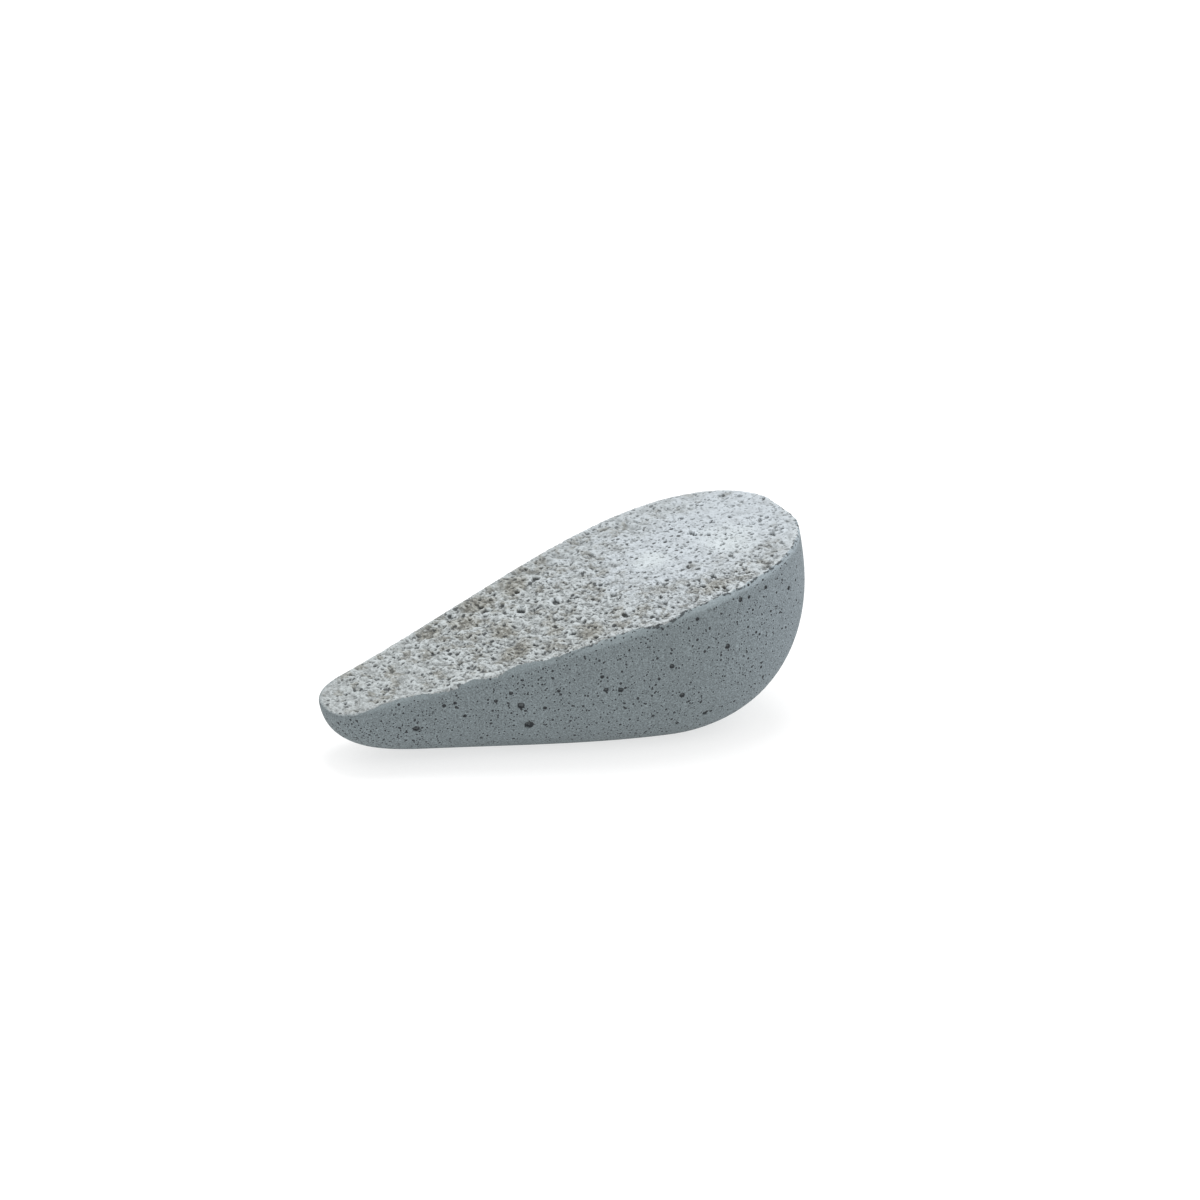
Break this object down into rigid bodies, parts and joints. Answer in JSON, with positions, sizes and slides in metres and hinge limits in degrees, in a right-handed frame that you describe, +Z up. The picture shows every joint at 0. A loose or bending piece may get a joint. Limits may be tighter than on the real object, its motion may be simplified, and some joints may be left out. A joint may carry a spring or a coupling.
{
  "type": "pumice stone",
  "caption": "Hand-sized wedge of pumice: a flat rough drop-shaped face over a smooth, fine-pored hull that is thin at the tip and deep at the heel.",
  "frame": {"origin": "middle of the footprint's box, on the ground", "axes": "+Z up; +X along the stone, from the thin tip to the deep heel; +Y across it"},
  "size_m": [0.1018, 0.0526, 0.0402],
  "materials": {
    "pumice": "dry matte pumice: smooth grey ground sides with fine dark pores, and a paler, coarse, open-celled rough face with brownish hollows"
  },
  "bodies": {
    "root": {"pumice_stone": "pumice"}
  },
  "joints": []
}
